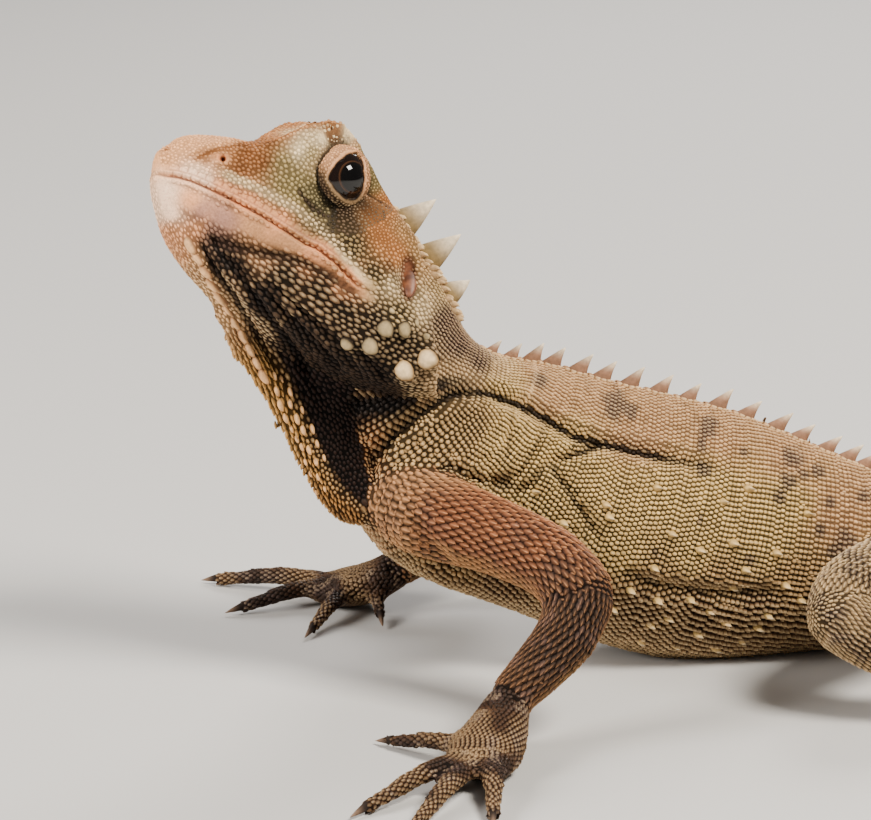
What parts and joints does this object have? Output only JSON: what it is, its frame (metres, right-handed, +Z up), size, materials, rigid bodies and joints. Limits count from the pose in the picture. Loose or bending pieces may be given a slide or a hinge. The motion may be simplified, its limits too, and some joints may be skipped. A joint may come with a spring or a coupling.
{
  "type": "forest dragon lizard model",
  "caption": "Life-size still model of a young Boyd's forest dragon, head raised on its forelegs, with nape spines, back crest, throat fan and long tail, resting on the floor.",
  "frame": {"origin": "middle of the model's footprint, on the floor that it rests on", "axes": "+Z up, the body and tail lie along X with the snout towards -X, and the animal's left side faces -Y"},
  "size_m": [0.3474, 0.1452, 0.0705],
  "materials": {
    "head_skin": "fine granular scales, satin, smooth and glossier on the lips",
    "body_skin": "small keeled scales, satin",
    "throat_skin": "granular scales, satin",
    "tail_skin": "keeled scales in bands, satin",
    "limb_skin": "overlapping keeled scales, satin",
    "eye": "wet gloss",
    "ear_drum": "thin smooth skin, satin"
  },
  "bodies": {
    "root": {"head": "head_skin", "jaw": "head_skin", "eye_left": "eye", "eye_right": "eye", "ear_left": "ear_drum", "ear_right": "ear_drum", "dewlap": "throat_skin", "neck": "throat_skin", "torso": "body_skin", "tail_1": "tail_skin", "tail_2": "tail_skin", "tail_3": "tail_skin", "tail_4": "tail_skin", "upper_arm_left": "limb_skin", "upper_arm_right": "limb_skin", "forearm_left": "limb_skin", "forearm_right": "limb_skin", "hand_left": "limb_skin", "hand_right": "limb_skin", "thigh_left": "limb_skin", "thigh_right": "limb_skin", "shin_left": "limb_skin", "shin_right": "limb_skin", "foot_left": "limb_skin", "foot_right": "limb_skin"}
  },
  "joints": []
}
